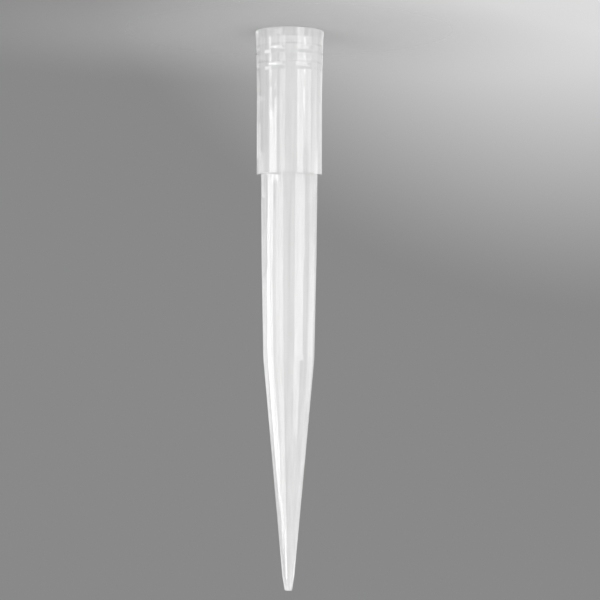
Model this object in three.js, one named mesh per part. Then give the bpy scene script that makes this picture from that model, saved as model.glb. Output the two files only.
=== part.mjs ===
// A universal pipette tip for volumes up to 1000 microlitres: one injection moulding in natural polypropylene,
// hollow from its wide mouth to its point.
//
// Units are millimetres and +Z is up. The tip stands on its rim with the mouth down, so the rim lies in the
// plane z = 0, the axis is Z and the point is the highest part. Heights are measured up from the rim.

import * as THREE from 'three';

// Lengths along the axis.
const overallLength = 71.0;
const lipHeight = 1.15;
const flareHeight = 7.75;
const collarHeight = 18.2;
const upperBodyLength = 10.7;
const lowerBodyLength = 12.6;
const nozzleLength = 1.6;

// The socket in the collar, which is pushed on to the pipette's nose cone. A slope is the radius lost for each
// millimetre of height.
const mouthRadius = 3.965;
const seatSlope = 0.031;
const leadInHeight = 0.45;
const leadInWidth = 0.07;
const seatStepHeight = 8.4;
const seatStepLength = 0.7;
const seatStepDepth = 0.1;
const lowerSeatSlope = 0.0225;
const shoulderLength = 6.0;
const shoulderDepth = 0.26;

// The two sealing beads, which stand proud of the seat and grip the nose cone. The lean puts the crest away from
// the rim, by that share of half the width, so that the cone rides up an easy slope.
const beadHeights = [1.56, 3.72];
const beadWidth = 1.0;
const beadDepth = 0.12;
const beadLean = 0.7;

// The two shallow sink marks in the skin of the flare, where the plastic shrinks next to the beads.
const sinkHeights = [2.71, 4.78];
const sinkWidth = 1.0;
const sinkDepth = 0.032;

// The bore of the body and of the cone below it.
const upperBodySlope = 0.0087;
const lowerBodySlope = 0.0192;
const nozzleBoreRadius = 0.36;
const orificeRadius = 0.29;

// Walls, each measured square to the axis.
const collarWall = 0.42;
const flareGrowth = 0.135;
const lipGrowth = 0.085;
const bodyWall = 0.45;
const nozzleWall = 0.385;
const pointWall = 0.185;

// Roundings. Each is the length that the curve takes from the two edges that meet in the corner.
const rimRounding = 0.08;
const ledgeRounding = 0.06;
const rootRounding = 0.14;
const breakRounding = 0.5;

// How finely the curves are drawn.
const sides = 48;
const stepsPerRounding = 2;
const stepsPerBead = 6;
const stepsPerSink = 6;

const upperBodyEnd = collarHeight + upperBodyLength;
const bodyEnd = upperBodyEnd + lowerBodyLength;
const nozzleStart = overallLength - nozzleLength;

/** The bore's radius in the upper part of the socket, where the beads are. */
function seatRadius(height) {
  return mouthRadius - seatSlope * height;
}

/** The bore's radius in the socket below its step. */
function lowerSeatRadius(height) {
  const top = seatStepHeight + seatStepLength;
  return seatRadius(seatStepHeight) - seatStepDepth - lowerSeatSlope * (height - top);
}

/** The outer radius of the flare. */
function flareRadius(height) {
  const collarRadius = seatRadius(flareHeight) + collarWall;
  return collarRadius + (flareGrowth * (flareHeight - height)) / (flareHeight - lipHeight);
}

/** The bore's radius in the body, whose taper grows at the end of its upper part. */
function bodyBoreRadius(height) {
  const start = lowerSeatRadius(collarHeight) - shoulderDepth;
  const upper = Math.min(height, upperBodyEnd) - collarHeight;
  const lower = Math.max(height - upperBodyEnd, 0);
  return start - upperBodySlope * upper - lowerBodySlope * lower;
}

/** A corner of the section: its radius, its height and how much of its edges a rounding takes. */
function corner(radius, height, rounding = 0) {
  return { point: new THREE.Vector2(radius, height), rounding };
}

/** The outside of the section, from the rim to the point. */
function outerCorners() {
  const collarRadius = seatRadius(flareHeight) + collarWall;
  const bodyRadius = (height) => bodyBoreRadius(height) + bodyWall;
  return [
    corner(collarRadius + flareGrowth + lipGrowth, 0, rimRounding),
    corner(collarRadius + flareGrowth, lipHeight),
    corner(collarRadius, flareHeight),
    corner(collarRadius, collarHeight, ledgeRounding),
    corner(bodyRadius(collarHeight), collarHeight, rootRounding),
    corner(bodyRadius(upperBodyEnd), upperBodyEnd),
    corner(bodyRadius(bodyEnd), bodyEnd, breakRounding),
    corner(nozzleBoreRadius + nozzleWall, nozzleStart),
    corner(orificeRadius + pointWall, overallLength),
  ];
}

/** The bore of the section, from the point back to the lower end of the seat. */
function boreCorners() {
  const shoulderStart = collarHeight - shoulderLength / 2;
  const shoulderEnd = collarHeight + shoulderLength / 2;
  const stepEnd = seatStepHeight + seatStepLength;
  return [
    corner(orificeRadius, overallLength),
    corner(nozzleBoreRadius, nozzleStart),
    corner(bodyBoreRadius(bodyEnd), bodyEnd),
    corner(bodyBoreRadius(upperBodyEnd), upperBodyEnd),
    corner(bodyBoreRadius(shoulderEnd), shoulderEnd),
    corner(lowerSeatRadius(shoulderStart), shoulderStart),
    corner(lowerSeatRadius(stepEnd), stepEnd),
    corner(seatRadius(seatStepHeight), seatStepHeight),
  ];
}

/** The point that lies a length away from one point, on the way to another. */
function along(from, to, length) {
  return to.clone().sub(from).setLength(length).add(from);
}

/** The points of a corner: the corner itself, or the curve that rounds it between its two neighbours. */
function cornerPoints({ point, rounding }, before, after) {
  if (rounding === 0) {
    return [point];
  }
  const start = along(point, before, rounding);
  const end = along(point, after, rounding);
  return new THREE.QuadraticBezierCurve(start, point, end).getPoints(stepsPerRounding);
}

/** The points of a sealing bead, in the order that comes down the seat towards the rim. */
function beadPoints(height) {
  const [top, foot] = [height + beadWidth / 2, height - beadWidth / 2];
  const start = new THREE.Vector2(seatRadius(top), top);
  const crestHeight = height + (beadLean * beadWidth) / 2;
  const crest = new THREE.Vector2(seatRadius(height) - 2 * beadDepth, crestHeight);
  const end = new THREE.Vector2(seatRadius(foot), foot);
  return new THREE.QuadraticBezierCurve(start, crest, end).getPoints(stepsPerBead);
}

/** The points of a sink mark, going up from the rim. */
function sinkPoints(height) {
  return Array.from({ length: stepsPerSink + 1 }, (_, step) => {
    const share = step / stepsPerSink;
    const level = height + (share - 0.5) * sinkWidth;
    const depth = (sinkDepth * (1 - Math.cos(2 * Math.PI * share))) / 2;
    return new THREE.Vector2(flareRadius(level) - depth, level);
  });
}

/** The points of the whole section, closed on itself. */
function sectionPoints() {
  const rimInside = new THREE.Vector2(seatRadius(0) + leadInWidth, 0);
  const corners = [...outerCorners(), ...boreCorners()];
  const points = corners.flatMap((item, index) => {
    const before = corners[index - 1]?.point ?? rimInside;
    const after = corners[index + 1]?.point ?? rimInside;
    const sinks = item.point.y === lipHeight ? [...sinkHeights].sort((low, high) => low - high) : [];
    return [...cornerPoints(item, before, after), ...sinks.flatMap(sinkPoints)];
  });
  const beadsFromTheTop = [...beadHeights].sort((low, high) => high - low);
  const leadInEnd = new THREE.Vector2(seatRadius(leadInHeight), leadInHeight);
  return [rimInside, ...points, ...beadsFromTheTop.flatMap(beadPoints), leadInEnd, rimInside];
}

/** The moulding: its section turned round the axis. */
function makeTip() {
  const geometry = new THREE.LatheGeometry(sectionPoints(), sides);
  geometry.rotateX(Math.PI / 2);
  const polypropylene = new THREE.MeshStandardMaterial({
    color: '#e6e8e8',
    roughness: 0.22,
    metalness: 0,
    transparent: true,
    opacity: 0.6,
  });
  const tip = new THREE.Mesh(geometry, polypropylene);
  tip.name = 'pipette_tip';
  return tip;
}

const assembly = new THREE.Group();
assembly.add(makeTip());

export default assembly;
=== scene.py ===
"""The looks of a 1000 microlitre pipette tip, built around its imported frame.

The tip is one injection moulding in natural polypropylene. It stands on its rim, mouth down, with its axis on
Z. Lengths in the classes below are in millimetres, as on a moulder's drawing. Blender's meshes are in metres.
"""

from __future__ import annotations

import logging
import math
import sys
from collections.abc import Iterable
from dataclasses import dataclass
from enum import Enum

import bpy
from mathutils import Matrix, Vector


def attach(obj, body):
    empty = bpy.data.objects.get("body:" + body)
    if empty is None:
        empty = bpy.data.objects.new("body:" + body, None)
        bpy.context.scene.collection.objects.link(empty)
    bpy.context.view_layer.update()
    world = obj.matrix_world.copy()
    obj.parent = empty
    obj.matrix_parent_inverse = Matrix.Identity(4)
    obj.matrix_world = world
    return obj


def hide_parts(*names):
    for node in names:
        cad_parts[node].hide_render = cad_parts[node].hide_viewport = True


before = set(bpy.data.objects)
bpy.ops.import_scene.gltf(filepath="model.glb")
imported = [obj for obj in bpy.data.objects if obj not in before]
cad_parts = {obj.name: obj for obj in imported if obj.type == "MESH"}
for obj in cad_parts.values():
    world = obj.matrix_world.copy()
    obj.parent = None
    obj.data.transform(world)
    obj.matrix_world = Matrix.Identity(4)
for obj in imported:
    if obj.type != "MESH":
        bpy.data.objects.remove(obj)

LOG = logging.getLogger("pipette_tip")
MM = 0.001
NODE = "pipette_tip"
PIECE = "tip_moulding"
WHITE = "#ffffff"

# Nearly all the values of a noise lie between these two.
NOISE_LOW = 0.3
NOISE_HIGH = 0.7


def linear(code: str) -> tuple[float, float, float, float]:
    """Turns an sRGB hex colour into a linear one.

    Args:
        code: the colour, such as "#e8eaea".

    Returns:
        Red, green, blue and an alpha of 1.
    """

    def channel(text: str) -> float:
        """One channel, from two hex digits."""
        value = int(text, 16) / 255
        return value / 12.92 if value <= 0.04045 else ((value + 0.055) / 1.055) ** 2.4

    digits = code.lstrip("#")
    red, green, blue = (channel(digits[i : i + 2]) for i in (0, 2, 4))
    return red, green, blue, 1.0


def add_node(
    tree: bpy.types.NodeTree, kind: str, settings: dict | None = None, **inputs: object
) -> bpy.types.Node:
    """Adds a node to a shader or geometry tree, with its settings and its inputs.

    Args:
        tree: the tree that gets the node.
        kind: the node's type, such as "ShaderNodeMath".
        settings: its properties, such as {"operation": "ADD"}.
        inputs: a value or an output socket for each input. The name is the socket's own, with spaces as
            underscores, or i and its number.

    Returns:
        The new node.
    """
    node = tree.nodes.new(kind)
    for name, value in (settings or {}).items():
        setattr(node, name, value)
    for name, value in inputs.items():
        numbered = name[0] == "i" and name[1:].isdigit()
        socket = node.inputs[int(name[1:]) if numbered else name.replace("_", " ")]
        if isinstance(value, bpy.types.NodeSocket):
            tree.links.new(value, socket)
        else:
            socket.default_value = value
    return node


def input_identifier(tree: bpy.types.NodeTree, name: str) -> str:
    """The identifier of a tree's named input, which is the key that a modifier keeps its value under."""
    sockets = tree.interface.items_tree
    return next(item.identifier for item in sockets if item.name == name and item.in_out == "INPUT")


def long_noise(
    tree: bpy.types.NodeTree, place: bpy.types.NodeSocket, across: float, along: float, detail: float
) -> bpy.types.NodeSocket:
    """A noise with marks that are longer along the tip than across it.

    Args:
        tree: the material's tree.
        place: the point on the moulding, in metres.
        across: how many marks go to a metre across the tip.
        along: how many marks go to a metre along it.
        detail: how many finer sizes are laid over the marks.

    Returns:
        The noise.
    """
    stretched = add_node(tree, "ShaderNodeMapping", Vector=place, Scale=(across, across, along))
    noise = add_node(tree, "ShaderNodeTexNoise", Vector=stretched.outputs["Vector"], Scale=1.0, Detail=detail)
    return noise.outputs["Fac"]


def wandering(
    tree: bpy.types.NodeTree, noise: bpy.types.NodeSocket, middle: float, change: float
) -> bpy.types.NodeSocket:
    """A value that wanders with a noise.

    Args:
        tree: the material's tree.
        noise: the noise.
        middle: the value that it wanders about.
        change: how far it wanders to either side.

    Returns:
        The value at each point.
    """
    spread = add_node(
        tree,
        "ShaderNodeMapRange",
        Value=noise,
        From_Min=NOISE_LOW,
        From_Max=NOISE_HIGH,
        To_Min=middle - change,
        To_Max=middle + change,
    )
    return spread.outputs["Result"]


def unscattered(tree: bpy.types.NodeTree) -> bpy.types.NodeSocket:
    """Whether no surface has scattered a ray yet.

    Args:
        tree: the tree of the world or of a material.

    Returns:
        1 for what is seen from the camera, in a reflection or through the plastic, and 0 for soft light.
    """
    depth = add_node(tree, "ShaderNodeLightPath").outputs["Diffuse Depth"]
    none = add_node(tree, "ShaderNodeMath", {"operation": "LESS_THAN"}, i0=depth, i1=0.5)
    return none.outputs["Value"]


def bend(start: Vector, middle: Vector, end: Vector, steps: int) -> list[Vector]:
    """A curve between two points, drawn towards a third.

    Args:
        start: its first point.
        middle: the point that it bends towards.
        end: its last point.
        steps: how many edges it gets.

    Returns:
        Its points, both ends included.
    """
    shares = [index / steps for index in range(steps + 1)]
    return [start * (1 - t) ** 2 + middle * 2 * t * (1 - t) + end * t**2 for t in shares]


@dataclass(frozen=True)
class Corner:
    """A corner of the moulding's section.

    Attributes:
        radius: its distance from the axis.
        height: its height above the rim.
        rounding: the length that its curve takes from each of the two edges.
    """

    radius: float
    height: float
    rounding: float = 0.0

    @property
    def point(self) -> Vector:
        """The corner's place in the section: radius, then height."""
        return Vector((self.radius, self.height))


@dataclass(frozen=True)
class NaturalPolypropylene:
    """Natural polypropylene, injection moulded without pigment.

    It is milky, because its crystals scatter the light, but a wall as thin as this one also lets much of it
    straight through. The cavity and the core pin are polished, so both faces of the wall are glossy.

    Attributes:
        name: the face of the wall it is for.
        colour: the milky body of the plastic.
        refraction: how strongly it bends light.
        clear_share: the share of the light that passes the face without being scattered.
        flow_change: how far that share wanders with the flow marks.
        flow_across: how many flow marks go to a metre across the tip.
        flow_along: how many flow marks go to a metre along it.
        streak_change: how far the share changes from one fine streak to the next.
        streak_width: the width of the streaks that drawing off the core pin leaves along the tip.
        streak_length: their length.
        polish: the roughness.
        polish_change: how far the roughness wanders, as a share of itself.
        cloud_count: how many cloudy patches of the polish go to a metre.
    """

    name: str
    clear_share: float
    colour: str = "#fdfdfd"
    refraction: float = 1.49
    flow_change: float = 0.015
    flow_across: float = 330.0
    flow_along: float = 80.0
    streak_change: float = 0.0
    streak_width: float = 0.45
    streak_length: float = 18.0
    polish: float = 0.06
    polish_change: float = 0.15
    cloud_count: float = 500.0

    def build(self) -> bpy.types.Material:
        """Builds the plastic.

        Returns:
            The material for one face of the wall.
        """
        material = bpy.data.materials.new(f"natural_polypropylene_{self.name}")
        material.use_nodes = True
        tree = material.node_tree
        tree.nodes.clear()
        place = add_node(tree, "ShaderNodeTexCoord").outputs["Object"]
        plastic = add_node(
            tree,
            "ShaderNodeBsdfPrincipled",
            Base_Color=linear(self.colour),
            IOR=self.refraction,
            Roughness=self.roughness(tree, place),
            Transmission_Weight=self.clearness(tree, place),
        )
        add_node(tree, "ShaderNodeOutputMaterial", Surface=plastic.outputs["BSDF"])
        return material

    def roughness(self, tree: bpy.types.NodeTree, place: bpy.types.NodeSocket) -> bpy.types.NodeSocket:
        """The polish, with a faint cloudiness.

        Args:
            tree: the material's tree.
            place: the point on the moulding, in metres.

        Returns:
            The roughness.
        """
        clouds = add_node(tree, "ShaderNodeTexNoise", Vector=place, Scale=self.cloud_count, Detail=2.0)
        return wandering(tree, clouds.outputs["Fac"], self.polish, self.polish * self.polish_change)

    def clearness(self, tree: bpy.types.NodeTree, place: bpy.types.NodeSocket) -> bpy.types.NodeSocket:
        """The share of light that passes straight through, which wanders with the flow and has fine streaks.

        Args:
            tree: the material's tree.
            place: the point on the moulding, in metres.

        Returns:
            The transmission weight.
        """
        flow = long_noise(tree, place, self.flow_across, self.flow_along, detail=3.0)
        across, along = 1 / (self.streak_width * MM), 1 / (self.streak_length * MM)
        lines = long_noise(tree, place, across, along, detail=1.0)
        total = add_node(
            tree,
            "ShaderNodeMath",
            {"operation": "ADD", "use_clamp": True},
            i0=wandering(tree, flow, self.clear_share, self.flow_change),
            i1=wandering(tree, lines, 0.0, self.streak_change),
        )
        return total.outputs["Value"]


@dataclass(frozen=True)
class TipMoulding:
    """The whole tip: a hollow moulding, drawn as its section turned round the axis.

    The heights are measured up from the rim, and each slope is the radius lost for each millimetre of height.
    A rounding is the length that its curve takes from the two edges that meet in the corner. The outside and
    the bore have a finish each, because the core pin leaves the bore milkier.
    """

    # Lengths along the axis.
    overall_length: float = 71.0
    lip_height: float = 1.15
    flare_height: float = 7.75
    collar_height: float = 18.2
    upper_body_length: float = 10.7
    lower_body_length: float = 12.6
    nozzle_length: float = 1.6

    # The socket in the collar, which is pushed on to the pipette's nose cone.
    mouth_radius: float = 3.965
    seat_slope: float = 0.031
    lead_in_height: float = 0.45
    lead_in_width: float = 0.07
    seat_step_height: float = 8.4
    seat_step_length: float = 0.7
    seat_step_depth: float = 0.1
    lower_seat_slope: float = 0.0225
    shoulder_length: float = 6.0
    shoulder_depth: float = 0.26

    # The sealing beads in the socket, and the sink marks in the skin of the flare next to them. The lean puts
    # a bead's crest away from the rim, by that share of half its width.
    bead_heights: tuple[float, ...] = (1.56, 3.72)
    bead_width: float = 1.0
    bead_depth: float = 0.12
    bead_lean: float = 0.7
    sink_heights: tuple[float, ...] = (2.71, 4.78)
    sink_width: float = 1.0
    sink_depth: float = 0.032

    # The bore of the body, and of the cone below it.
    upper_body_slope: float = 0.0087
    lower_body_slope: float = 0.0192
    nozzle_bore_radius: float = 0.36
    orifice_radius: float = 0.29

    # Walls, each measured square to the axis.
    collar_wall: float = 0.42
    flare_growth: float = 0.135
    lip_growth: float = 0.085
    body_wall: float = 0.45
    nozzle_wall: float = 0.385
    point_wall: float = 0.185

    rim_rounding: float = 0.08
    ledge_rounding: float = 0.06
    root_rounding: float = 0.14
    step_rounding: float = 0.25
    break_rounding: float = 0.5
    point_rounding: float = 0.04

    # How finely it is drawn, and the faint waves that the cooling plastic leaves in its wall.
    sides: int = 160
    spine_radius: float = 1.0
    longest_edge: float = 0.9
    rounding_steps: int = 6
    bead_steps: int = 14
    sink_steps: int = 16
    support: float = 0.03
    waviness: float = 0.006
    wave_length: float = 7.0
    seed: int = 7

    # The two finishes. A face belongs to the bore where its normal is turned towards the axis by this much.
    skin: NaturalPolypropylene = NaturalPolypropylene("skin", 0.77)
    bore_skin: NaturalPolypropylene = NaturalPolypropylene("bore", 0.5, streak_change=0.05)
    bore_turn: float = 0.5

    @property
    def upper_body_end(self) -> float:
        """Height at which the body's taper grows."""
        return self.collar_height + self.upper_body_length

    @property
    def body_end(self) -> float:
        """Height at which the slim cone starts."""
        return self.upper_body_end + self.lower_body_length

    @property
    def nozzle_start(self) -> float:
        """Height at which the cone ends and the nozzle starts."""
        return self.overall_length - self.nozzle_length

    def seat_radius(self, height: float) -> float:
        """The bore's radius in the upper part of the socket, where the beads are."""
        return self.mouth_radius - self.seat_slope * height

    def flare_radius(self, height: float) -> float:
        """The outer radius of the flare."""
        collar = self.seat_radius(self.flare_height) + self.collar_wall
        share = (self.flare_height - height) / (self.flare_height - self.lip_height)
        return collar + self.flare_growth * share

    def lower_seat_radius(self, height: float) -> float:
        """The bore's radius in the socket below its step."""
        top = self.seat_step_height + self.seat_step_length
        start = self.seat_radius(self.seat_step_height) - self.seat_step_depth
        return start - self.lower_seat_slope * (height - top)

    def body_bore_radius(self, height: float) -> float:
        """The bore's radius in the body.

        Args:
            height: the height above the rim.

        Returns:
            The radius there.
        """
        start = self.lower_seat_radius(self.collar_height) - self.shoulder_depth
        upper = min(height, self.upper_body_end) - self.collar_height
        lower = max(height - self.upper_body_end, 0.0)
        return start - self.upper_body_slope * upper - self.lower_body_slope * lower

    def outer_corners(self) -> list[Corner]:
        """The outside of the section, from the rim to the point."""
        collar = self.seat_radius(self.flare_height) + self.collar_wall
        flare = collar + self.flare_growth
        ledge, taper, end = self.collar_height, self.upper_body_end, self.body_end
        return [
            Corner(flare + self.lip_growth, 0.0, self.rim_rounding),
            Corner(flare, self.lip_height, self.step_rounding),
            Corner(collar, self.flare_height, self.break_rounding),
            Corner(collar, ledge, self.ledge_rounding),
            Corner(self.body_bore_radius(ledge) + self.body_wall, ledge, self.root_rounding),
            Corner(self.body_bore_radius(taper) + self.body_wall, taper, self.step_rounding),
            Corner(self.body_bore_radius(end) + self.body_wall, end, self.break_rounding),
            Corner(self.nozzle_bore_radius + self.nozzle_wall, self.nozzle_start, self.step_rounding),
            Corner(self.orifice_radius + self.point_wall, self.overall_length, self.point_rounding),
        ]

    def bore_corners(self) -> list[Corner]:
        """The bore of the section, from the point back to the step in the seat."""
        shoulder_start = self.collar_height - self.shoulder_length / 2
        shoulder_end = self.collar_height + self.shoulder_length / 2
        step = self.seat_step_height + self.seat_step_length
        return [
            Corner(self.orifice_radius, self.overall_length, self.point_rounding),
            Corner(self.nozzle_bore_radius, self.nozzle_start, self.step_rounding),
            Corner(self.body_bore_radius(self.body_end), self.body_end, self.break_rounding),
            Corner(self.body_bore_radius(self.upper_body_end), self.upper_body_end, self.step_rounding),
            Corner(self.body_bore_radius(shoulder_end), shoulder_end, self.step_rounding),
            Corner(self.lower_seat_radius(shoulder_start), shoulder_start, self.step_rounding),
            Corner(self.lower_seat_radius(step), step, self.step_rounding),
            Corner(self.seat_radius(self.seat_step_height), self.seat_step_height, self.step_rounding),
        ]

    def rounded(self, corner: Corner, before: Vector, after: Vector) -> list[Vector]:
        """The curve of one corner, with a support point at each end that keeps the straights' shading clean.

        Args:
            corner: the corner.
            before: the point before it.
            after: the point after it.

        Returns:
            The corner's points.
        """
        back = (before - corner.point).normalized()
        on = (after - corner.point).normalized()
        start = corner.point + back * corner.rounding
        end = corner.point + on * corner.rounding
        curve = bend(start, corner.point, end, self.rounding_steps)
        return [start + back * self.support, *curve, end + on * self.support]

    def bead(self, height: float) -> list[Vector]:
        """One sealing bead, which stands proud of the seat.

        Args:
            height: the height of its middle.

        Returns:
            Its points, coming down towards the rim.
        """
        top, foot = height + self.bead_width / 2, height - self.bead_width / 2
        start = Vector((self.seat_radius(top), top))
        crest_height = height + self.bead_lean * self.bead_width / 2
        crest = Vector((self.seat_radius(height) - 2 * self.bead_depth, crest_height))
        end = Vector((self.seat_radius(foot), foot))
        up = Vector((0.0, self.support))
        return [start + up, *bend(start, crest, end, self.bead_steps), end - up]

    def sink(self, height: float) -> list[Vector]:
        """One shallow sink mark, which the skin of the flare gets where the wall behind it is thick.

        Args:
            height: the height of its middle.

        Returns:
            Its points, going up from the rim.
        """
        points: list[Vector] = []
        for step in range(self.sink_steps + 1):
            share = step / self.sink_steps
            level = height + (share - 0.5) * self.sink_width
            depth = self.sink_depth * (1 - math.cos(2 * math.pi * share)) / 2
            points.append(Vector((self.flare_radius(level) - depth, level)))
        return points

    def section(self) -> list[Vector]:
        """The closed section of the moulding.

        Returns:
            Its points: up the outside from the rim to the point, then back down the bore.
        """
        lead_in = Corner(self.seat_radius(self.lead_in_height), self.lead_in_height, self.ledge_rounding)
        rim_inside = Corner(self.seat_radius(0.0) + self.lead_in_width, 0.0, self.ledge_rounding / 2)
        corners = [*self.outer_corners(), *self.bore_corners()]
        points: list[Vector] = []
        for index, corner in enumerate(corners):
            before = corners[index - 1].point if index else rim_inside.point
            after = corners[index + 1].point if index + 1 < len(corners) else lead_in.point
            points += self.rounded(corner, before, after)
            if corner.height == self.lip_height:
                points += [point for height in sorted(self.sink_heights) for point in self.sink(height)]
        for height in sorted(self.bead_heights, reverse=True):
            points += self.bead(height)
        points += self.rounded(lead_in, points[-1], rim_inside.point)
        points += self.rounded(rim_inside, lead_in.point, corners[0].point)
        return self.divided(points)

    def divided(self, points: list[Vector]) -> list[Vector]:
        """Splits the long edges of the section, so that its waves are drawn evenly.

        Args:
            points: the closed section.

        Returns:
            The section with no edge longer than the longest one allowed.
        """
        result: list[Vector] = []
        for index, point in enumerate(points):
            after = points[(index + 1) % len(points)]
            parts = max(1, math.ceil((after - point).length / self.longest_edge))
            result += [point.lerp(after, step / parts) for step in range(parts)]
        return result

    def section_curve(self) -> bpy.types.Object:
        """Draws the section as a closed curve, measured outwards from the spine.

        Returns:
            The curve's object.
        """
        points = self.section()
        curve = bpy.data.curves.new("tip_section", "CURVE")
        curve.dimensions = "3D"
        spline = curve.splines.new("POLY")
        spline.points.add(len(points) - 1)
        spline.use_cyclic_u = True
        for spot, point in zip(spline.points, points):
            spot.co = ((point.x - self.spine_radius) * MM, -point.y * MM, 0.0, 1.0)
        section = bpy.data.objects.new("tip_section", curve)
        bpy.context.scene.collection.objects.link(section)
        return section

    def turning_tree(self) -> bpy.types.NodeTree:
        """Builds the tree that turns a section round the axis and gives the wall its faint waves.

        Returns:
            The tree.
        """
        tree = bpy.data.node_groups.new("turned_moulding", "GeometryNodeTree")
        tree.interface.new_socket("Section", in_out="INPUT", socket_type="NodeSocketGeometry")
        for name, kind in (
            ("Sides", "NodeSocketInt"),
            ("Spine Radius", "NodeSocketFloat"),
            ("Waviness", "NodeSocketFloat"),
            ("Wave Length", "NodeSocketFloat"),
            ("Seed", "NodeSocketInt"),
            ("Skin Finish", "NodeSocketMaterial"),
            ("Bore Finish", "NodeSocketMaterial"),
        ):
            tree.interface.new_socket(name, in_out="INPUT", socket_type=kind)
        tree.interface.new_socket("Moulding", in_out="OUTPUT", socket_type="NodeSocketGeometry")
        sizes = add_node(tree, "NodeGroupInput").outputs
        spine = add_node(
            tree,
            "GeometryNodeCurvePrimitiveCircle",
            {"mode": "RADIUS"},
            Resolution=sizes["Sides"],
            Radius=sizes["Spine Radius"],
        )
        wall = add_node(
            tree, "GeometryNodeCurveToMesh", Curve=spine.outputs["Curve"], Profile_Curve=sizes["Section"]
        )
        # The waves are made along the radius, always inwards, so the moulding never grows past its drawing.
        place = add_node(tree, "GeometryNodeInputPosition").outputs["Position"]
        axes = add_node(tree, "ShaderNodeSeparateXYZ", Vector=place).outputs
        flat = add_node(tree, "ShaderNodeCombineXYZ", X=axes["X"], Y=axes["Y"])
        outwards = add_node(
            tree, "ShaderNodeVectorMath", {"operation": "NORMALIZE"}, i0=flat.outputs["Vector"]
        ).outputs["Vector"]
        often = add_node(tree, "ShaderNodeMath", {"operation": "DIVIDE"}, i0=1.0, i1=sizes["Wave Length"])
        noise = add_node(
            tree,
            "ShaderNodeTexNoise",
            {"noise_dimensions": "4D"},
            Vector=place,
            W=sizes["Seed"],
            Scale=often.outputs["Value"],
            Detail=1.0,
        )
        depth = add_node(
            tree, "ShaderNodeMath", {"operation": "MULTIPLY"}, i0=noise.outputs["Fac"], i1=sizes["Waviness"]
        )
        inwards = add_node(
            tree, "ShaderNodeMath", {"operation": "MULTIPLY"}, i0=depth.outputs["Value"], i1=-1.0
        )
        shift = add_node(
            tree, "ShaderNodeVectorMath", {"operation": "SCALE"}, i0=outwards, Scale=inwards.outputs["Value"]
        )
        waved = add_node(
            tree, "GeometryNodeSetPosition", Geometry=wall.outputs["Mesh"], Offset=shift.outputs["Vector"]
        )
        # The sweep leaves the faces pointing into the wall.
        turned = add_node(tree, "GeometryNodeFlipFaces", Mesh=waved.outputs["Geometry"])
        smooth = add_node(tree, "GeometryNodeSetShadeSmooth", Geometry=turned.outputs["Mesh"])
        real = add_node(tree, "GeometryNodeRealizeInstances", Geometry=smooth.outputs["Geometry"])
        skin = add_node(
            tree, "GeometryNodeSetMaterial", Geometry=real.outputs["Geometry"], Material=sizes["Skin Finish"]
        )
        # A face of the bore looks back at the axis, and a face of the rim or the ledge looks along it.
        facing = add_node(
            tree,
            "ShaderNodeVectorMath",
            {"operation": "DOT_PRODUCT"},
            i0=add_node(tree, "GeometryNodeInputNormal").outputs["Normal"],
            i1=outwards,
        )
        inside = add_node(
            tree,
            "FunctionNodeCompare",
            {"operation": "LESS_THAN"},
            i0=facing.outputs["Value"],
            i1=-self.bore_turn,
        )
        bore = add_node(
            tree,
            "GeometryNodeSetMaterial",
            Geometry=skin.outputs["Geometry"],
            Selection=inside.outputs["Result"],
            Material=sizes["Bore Finish"],
        )
        add_node(tree, "NodeGroupOutput", Moulding=bore.outputs["Geometry"])
        return tree

    def build(self) -> bpy.types.Object:
        """Builds the moulding and lets it stand for its node.

        Returns:
            The finished piece.
        """
        section = self.section_curve()
        tree = self.turning_tree()
        turning = section.modifiers.new("turning", "NODES")
        turning.node_group = tree
        for name, value in (
            ("Sides", self.sides),
            ("Spine Radius", self.spine_radius * MM),
            ("Waviness", self.waviness * MM),
            ("Wave Length", self.wave_length * MM),
            ("Seed", self.seed),
            ("Skin Finish", self.skin.build()),
            ("Bore Finish", self.bore_skin.build()),
        ):
            turning[input_identifier(tree, name)] = value
        section.update_tag()
        depsgraph = bpy.context.evaluated_depsgraph_get()
        mesh = bpy.data.meshes.new_from_object(section.evaluated_get(depsgraph), depsgraph=depsgraph)
        mesh.name = PIECE
        bpy.data.objects.remove(section)
        tip = bpy.data.objects.new(PIECE, mesh)
        bpy.context.scene.collection.objects.link(tip)
        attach(tip, "root")
        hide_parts(NODE)
        triangles = sum(len(face.vertices) - 2 for face in mesh.polygons)
        LOG.info("%s: %d triangles, %s", PIECE, triangles, [slot.name for slot in mesh.materials])
        return tip


class Reach(Enum):
    """How far a lamp's light gets: to the shine, also into the milky surface, or right through the wall."""

    SHINE = "shine"
    SURFACE = "surface"
    THROUGH = "through"


class Side(Enum):
    """Which side of the tip a lamp stands on, as the camera sees it."""

    LEFT = 1
    RIGHT = -1


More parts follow.
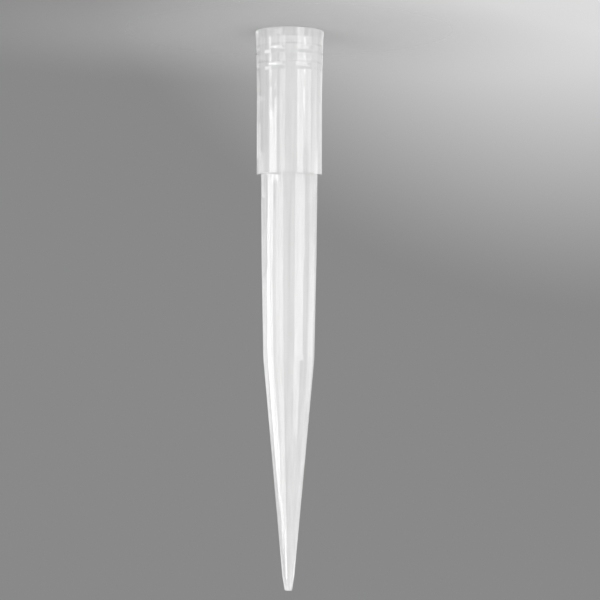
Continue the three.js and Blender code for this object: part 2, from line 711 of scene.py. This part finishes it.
@dataclass(frozen=True)
class Softbox:
    """A soft lamp that faces the tip's axis.

    Attributes:
        name: what it is called.
        side: which side of the tip it stands on, as the camera sees it.
        first: the angle at which it starts, in degrees round the axis from the camera.
        last: the angle at which it ends.
        distance: how far it stands from the axis.
        foot: the height of its lower edge.
        top: the height of its upper edge.
        level: how bright it looks, where 1 is white.
        reach: how far its light gets.
    """

    name: str
    side: Side
    first: float
    last: float
    distance: float
    foot: float
    top: float
    level: float
    reach: Reach = Reach.THROUGH

    def build(self) -> bpy.types.Object:
        """Hangs the lamp.

        Returns:
            The lamp's object.
        """
        spread = math.radians(self.last - self.first)
        width = 2 * self.distance * math.tan(spread / 2) * MM
        height = (self.top - self.foot) * MM
        lamp = bpy.data.lights.new(self.name, "AREA")
        lamp.shape = "RECTANGLE"
        lamp.size = width
        lamp.size_y = height
        # A one-sided lamp of power P and area A has the radiance P / (pi * A).
        lamp.energy = self.level * math.pi * width * height
        turn = math.radians((self.first + self.last) / 2) * self.side.value
        outwards = Vector((math.sin(turn), -math.cos(turn), 0.0))
        up = Vector((0.0, 0.0, 1.0))
        place = outwards * self.distance * MM + up * (self.foot + self.top) / 2 * MM
        across = up.cross(outwards)
        body = bpy.data.objects.new(self.name, lamp)
        body.matrix_world = Matrix.Translation(place) @ Matrix((across, up, outwards)).transposed().to_4x4()
        body.visible_camera = False
        body.visible_diffuse = self.reach is not Reach.SHINE
        body.visible_transmission = self.reach is Reach.THROUGH
        bpy.context.scene.collection.objects.link(body)
        LOG.info("%s: %.0f by %.0f mm at level %.1f", self.name, width / MM, height / MM, self.level)
        return body


@dataclass(frozen=True)
class Studio:
    """The plain pale floor, the grey behind it and the soft light.

    Attributes:
        backdrop: the grey far behind the tip.
        ambient: how bright the soft light all round is for a scattering surface, where 1 is white.
        ambient_lean: how much brighter it is straight from the right, and darker from the left, as a share.
        glow_turn: how far to the right of straight ahead the backdrop's glow lies, in degrees.
        glow_dip: how far below the horizon it lies, in degrees.
        glow_spread: how far it reaches, in degrees.
        glow_level: how bright its middle would be.
        glow_limit: how bright it may get, where 1 is white.
        glow_fall: the power by which it falls off.
        floor_colour: the floor's own pale grey.
        floor_bounce: a paler copy of the floor's grey, painted for the light that it sends on to the tip, so
        that the tip gets more light from below than the floor shows.
        floor_radius: where the floor has faded into the backdrop. The fade paints a pale pool of light round
            the tip.
        floor_fall: the power by which it fades, and the painted pool of light with it.
        lamps: the softboxes.
    """

    backdrop: str = "#898989"
    ambient: float = 0.88
    ambient_lean: float = 0.32
    glow_turn: float = 11.5
    glow_dip: float = 20.3
    glow_spread: float = 20.8
    glow_level: float = 1.5
    glow_limit: float = 0.5
    glow_fall: float = 1.4
    floor_colour: str = "#b2b2b2"
    floor_bounce: str = "#d6d6d6"
    floor_radius: float = 60.0
    floor_fall: float = 2.0
    lamps: tuple[Softbox, ...] = (
        # The lamps that only the shine shows: the strips of the long white line and a soft one at its foot.
        Softbox("strip_left_under", Side.LEFT, 66, 95, 150, -60, -19, 4.5, Reach.SHINE),
        Softbox("line_left_low", Side.LEFT, 64, 75, 450, -53, -37, 4.2, Reach.SHINE),
        Softbox("strip_left_near", Side.LEFT, 53, 72, 60, 4, 16, 5.0, Reach.SHINE),
        Softbox("edge_left_near", Side.LEFT, 44, 53, 60, 2, 16, 5.0, Reach.SHINE),
        Softbox("soft_left_low", Side.LEFT, 44, 80, 450, -62, -10, 1.0, Reach.SHINE),
        Softbox("strip_left", Side.LEFT, 68, 99, 150, 9, 18, 6.2, Reach.SHINE),
        Softbox("strip_left_body", Side.LEFT, 71, 103, 150, 18, 31, 6.2, Reach.SHINE),
        Softbox("strip_left_middle", Side.LEFT, 73, 109, 150, 31, 77, 6.2, Reach.SHINE),
        Softbox("strip_left_high", Side.LEFT, 67, 107, 150, 77, 88, 5.8, Reach.SHINE),
        Softbox("strip_left_higher", Side.LEFT, 63, 101, 150, 88, 98, 5.8, Reach.SHINE),
        Softbox("strip_left_top", Side.LEFT, 54, 84, 150, 98, 111, 5.3, Reach.SHINE),
        Softbox("strip_left_end", Side.LEFT, 20, 46, 150, 111, 135, 4.0, Reach.SHINE),
        # The broad soft lamps on the left: in front, between and behind.
        Softbox("front_left_low", Side.LEFT, 14, 34, 450, -70, -10, 2.4, Reach.SURFACE),
        Softbox("front_left", Side.LEFT, 24, 56, 450, -10, 30, 3.4, Reach.SURFACE),
        Softbox("front_left_waist", Side.LEFT, 24, 56, 450, 30, 72, 4.2, Reach.SURFACE),
        Softbox("front_left_high", Side.LEFT, 24, 56, 450, 72, 300, 3.4, Reach.SURFACE),
        Softbox("between_left", Side.LEFT, 56, 73, 450, 5, 170, 2.4, Reach.SURFACE),
        Softbox("back_left_under", Side.LEFT, 135, 168, 450, -70, -48, 0.4, Reach.SURFACE),
        Softbox("back_left_low", Side.LEFT, 127, 168, 450, -48, -36, 0.65, Reach.SURFACE),
        Softbox("back_left_collar", Side.LEFT, 120, 135, 450, -36, -22, 1.4, Reach.SURFACE),
        Softbox("edge_left_collar", Side.LEFT, 135, 168, 450, -36, -22, 0.9, Reach.SURFACE),
        Softbox("back_left_ledge", Side.LEFT, 127, 168, 450, -22, -10, 0.4, Reach.SURFACE),
        Softbox("back_left_root", Side.LEFT, 130, 168, 450, -10, -4, 0.5, Reach.SURFACE),
        Softbox("back_left_body", Side.LEFT, 108, 135, 450, -4, 10, 1.1, Reach.SURFACE),
        Softbox("edge_left_body", Side.LEFT, 135, 168, 450, -4, 10, 0.8, Reach.SURFACE),
        Softbox("back_left_waist", Side.LEFT, 106, 135, 450, 10, 30, 1.7, Reach.SURFACE),
        Softbox("edge_left_waist", Side.LEFT, 135, 168, 450, 10, 30, 0.9, Reach.SURFACE),
        Softbox("back_left_middle", Side.LEFT, 114, 168, 450, 30, 110, 0.85),
        Softbox("back_left_high", Side.LEFT, 125, 168, 450, 110, 165, 0.5),
        # The broad soft lamps on the right.
        Softbox("front_right_under", Side.RIGHT, 28, 57, 450, -70, -40, 3.8, Reach.SURFACE),
        Softbox("front_right_low", Side.RIGHT, 28, 50, 450, -40, -10, 3.8, Reach.SURFACE),
        Softbox("between_right_low", Side.RIGHT, 50, 66, 450, -70, -28, 2.2, Reach.SURFACE),
        Softbox("front_right", Side.RIGHT, 24, 69, 450, -10, 30, 3.6, Reach.SURFACE),
        Softbox("front_right_waist", Side.RIGHT, 24, 64, 450, 30, 72, 4.2, Reach.SURFACE),
        Softbox("front_right_middle", Side.RIGHT, 24, 69, 450, 72, 110, 3.6, Reach.SURFACE),
        Softbox("front_right_high", Side.RIGHT, 22, 54, 450, 110, 165, 3.1, Reach.SURFACE),
        Softbox("front_right_top", Side.RIGHT, 22, 54, 450, 165, 190, 0.8, Reach.SURFACE),
        Softbox("side_right_under", Side.RIGHT, 66, 82, 450, -70, -28, 2.4),
        Softbox("side_right_low", Side.RIGHT, 66, 82, 450, -28, -10, 1.3),
        Softbox("side_right_wide", Side.RIGHT, 92, 116, 450, -70, -10, 0.45),
        Softbox("side_right", Side.RIGHT, 93, 138, 450, -10, 15, 0.45),
        Softbox("side_right_body", Side.RIGHT, 93, 138, 450, 15, 30, 0.8),
        Softbox("side_right_waist", Side.RIGHT, 93, 138, 450, 30, 76, 1.1),
        Softbox("side_right_middle", Side.RIGHT, 93, 138, 450, 76, 110, 0.8),
        Softbox("side_right_high", Side.RIGHT, 100, 138, 450, 110, 190, 0.35),
        Softbox("back_right_low", Side.RIGHT, 134, 168, 450, -70, -10, 0.55),
        Softbox("back_right", Side.RIGHT, 138, 168, 450, -10, 190, 0.3),
    )

    def build(self) -> None:
        """Sets up the world, the floor and the lamps."""
        self.world()
        self.floor()
        for lamp in self.lamps:
            lamp.build()

    def world(self) -> None:
        """Makes the grey backdrop, and the soft light all round that scattering surfaces receive."""
        world = bpy.data.worlds.new("studio_grey")
        world.use_nodes = True
        tree = world.node_tree
        tree.nodes.clear()
        grey = add_node(tree, "ShaderNodeBackground", Color=linear(self.backdrop), Strength=1.0)
        glow = add_node(tree, "ShaderNodeBackground", Color=linear(WHITE), Strength=self.glow(tree))
        seen = add_node(
            tree, "ShaderNodeAddShader", i0=grey.outputs["Background"], i1=glow.outputs["Background"]
        )
        soft = add_node(tree, "ShaderNodeBackground", Color=linear(WHITE), Strength=self.soft_light(tree))
        # A ray that no surface has scattered yet sees the backdrop: from the camera, in a reflection or
        # through the plastic.
        mix = add_node(
            tree,
            "ShaderNodeMixShader",
            i0=unscattered(tree),
            i1=soft.outputs["Background"],
            i2=seen.outputs["Shader"],
        )
        add_node(tree, "ShaderNodeOutputWorld", Surface=mix.outputs["Shader"])
        world.cycles.sampling_method = "NONE"
        bpy.context.scene.world = world

    def soft_light(self, tree: bpy.types.NodeTree) -> bpy.types.NodeSocket:
        """The soft light all round, which comes a little more from the right than from the left.

        Args:
            tree: the world's tree.

        Returns:
            Its strength in each direction.
        """
        direction = add_node(tree, "ShaderNodeTexCoord").outputs["Generated"]
        right = (-self.ambient_lean, 0.0, 0.0)
        share = add_node(tree, "ShaderNodeVectorMath", {"operation": "DOT_PRODUCT"}, i0=direction, i1=right)
        level = add_node(
            tree,
            "ShaderNodeMath",
            {"operation": "MULTIPLY_ADD"},
            i0=share.outputs["Value"],
            i1=self.ambient,
            i2=self.ambient,
        )
        return level.outputs["Value"]

    def glow(self, tree: bpy.types.NodeTree) -> bpy.types.NodeSocket:
        """The glow on the backdrop, low on the right.

        Args:
            tree: the world's tree.

        Returns:
            Its strength in each direction.
        """
        turn, dip = math.radians(self.glow_turn), math.radians(self.glow_dip)
        middle = (-math.sin(turn) * math.cos(dip), math.cos(turn) * math.cos(dip), -math.sin(dip))
        direction = add_node(tree, "ShaderNodeTexCoord").outputs["Generated"]
        nearness = add_node(
            tree, "ShaderNodeVectorMath", {"operation": "DOT_PRODUCT"}, i0=direction, i1=middle
        )
        angle = add_node(tree, "ShaderNodeMath", {"operation": "ARCCOSINE"}, i0=nearness.outputs["Value"])
        near = add_node(
            tree,
            "ShaderNodeMapRange",
            Value=angle.outputs["Value"],
            From_Min=0.0,
            From_Max=math.radians(self.glow_spread),
            To_Min=1.0,
            To_Max=0.0,
        )
        soft = add_node(
            tree, "ShaderNodeMath", {"operation": "POWER"}, i0=near.outputs["Result"], i1=self.glow_fall
        )
        level = add_node(
            tree, "ShaderNodeMath", {"operation": "MULTIPLY"}, i0=soft.outputs["Value"], i1=self.glow_level
        )
        limited = add_node(
            tree, "ShaderNodeMath", {"operation": "MINIMUM"}, i0=level.outputs["Value"], i1=self.glow_limit
        )
        return limited.outputs["Value"]

    def floor(self) -> bpy.types.Object:
        """Lays the pale floor, which fades into the backdrop with distance.

        Returns:
            The floor's object.
        """
        rim = self.floor_radius * MM
        corners = [(-rim, -rim, 0.0), (rim, -rim, 0.0), (rim, rim, 0.0), (-rim, rim, 0.0)]
        mesh = bpy.data.meshes.new("studio_floor")
        mesh.from_pydata(corners, [], [(0, 1, 2, 3)])
        material = bpy.data.materials.new("studio_floor_paper")
        material.use_nodes = True
        tree = material.node_tree
        tree.nodes.clear()
        place = add_node(tree, "ShaderNodeTexCoord").outputs["Object"]
        radius = add_node(tree, "ShaderNodeVectorMath", {"operation": "LENGTH"}, i0=place).outputs["Value"]
        # Painted light: the floor fades into the backdrop with distance, which paints a pale pool of light
        # round the tip.
        near = add_node(
            tree, "ShaderNodeMapRange", Value=radius, From_Min=0.0, From_Max=rim, To_Min=1.0, To_Max=0.0
        )
        soft = add_node(
            tree, "ShaderNodeMath", {"operation": "POWER"}, i0=near.outputs["Result"], i1=self.floor_fall
        )
        # A mix of colours has them at its inputs 6 and 7 and its output 2.
        # Painted light: rays that have scattered see the paler copy, so the floor lights the tip more than it
        # shows.
        grey = add_node(
            tree,
            "ShaderNodeMix",
            {"data_type": "RGBA"},
            i0=unscattered(tree),
            i6=linear(self.floor_bounce),
            i7=linear(self.floor_colour),
        )
        paper = add_node(tree, "ShaderNodeBsdfDiffuse", Color=grey.outputs[2])
        gone = add_node(tree, "ShaderNodeBsdfTransparent")
        mix = add_node(
            tree,
            "ShaderNodeMixShader",
            i0=soft.outputs["Value"],
            i1=gone.outputs["BSDF"],
            i2=paper.outputs["BSDF"],
        )
        add_node(tree, "ShaderNodeOutputMaterial", Surface=mix.outputs["Shader"])
        mesh.materials.append(material)
        floor = bpy.data.objects.new("studio_floor", mesh)
        bpy.context.scene.collection.objects.link(floor)
        # It keeps the tip's shadow, but it stays out of the reflections and shades nothing itself.
        floor.visible_glossy = False
        floor.visible_shadow = False
        return floor


@dataclass(frozen=True)
class Viewpoint:
    """A level camera, turned upside down so that the mouth is at the top of the picture.

    Attributes:
        lens: its focal length.
        sensor: the width of its film.
        distance: how far it stands from the tip's axis.
        height: its height above the floor.
        aside: how far it stands to the side of the axis.
        roll: how much further than upside down it is turned, in degrees.
        nearest: the distance at which it starts to see.
        farthest: the distance at which it stops.
    """

    lens: float = 100.0
    sensor: float = 36.0
    distance: float = 212.0
    height: float = 34.1
    aside: float = -1.40
    roll: float = 0.13
    nearest: float = 10.0
    farthest: float = 10000.0

    def build(self) -> bpy.types.Object:
        """Sets up the camera.

        Returns:
            The camera's object.
        """
        camera = bpy.data.cameras.new("camera")
        camera.lens = self.lens
        camera.sensor_width = self.sensor
        camera.clip_start = self.nearest * MM
        camera.clip_end = self.farthest * MM
        body = bpy.data.objects.new("camera", camera)
        # It looks along +Y, with the top of its picture downwards.
        turned = Matrix(((-1.0, 0.0, 0.0), (0.0, 0.0, -1.0), (0.0, -1.0, 0.0))).transposed().to_4x4()
        rolled = Matrix.Rotation(math.radians(self.roll), 4, "Z")
        place = Vector((self.aside, -self.distance, self.height)) * MM
        body.matrix_world = Matrix.Translation(place) @ turned @ rolled
        bpy.context.scene.collection.objects.link(body)
        bpy.context.scene.camera = body
        return body


def main() -> None:
    """Builds the tip, its studio and its camera, and notes the sizes."""
    logging.basicConfig(level=logging.INFO, format="%(name)s: %(message)s", stream=sys.stdout)
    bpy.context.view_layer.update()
    bpy.context.scene.view_settings.view_transform = "Standard"
    Viewpoint().build()
    Studio().build()
    TipMoulding().build()
    bpy.context.view_layer.update()


if __name__ == "__main__":
    main()
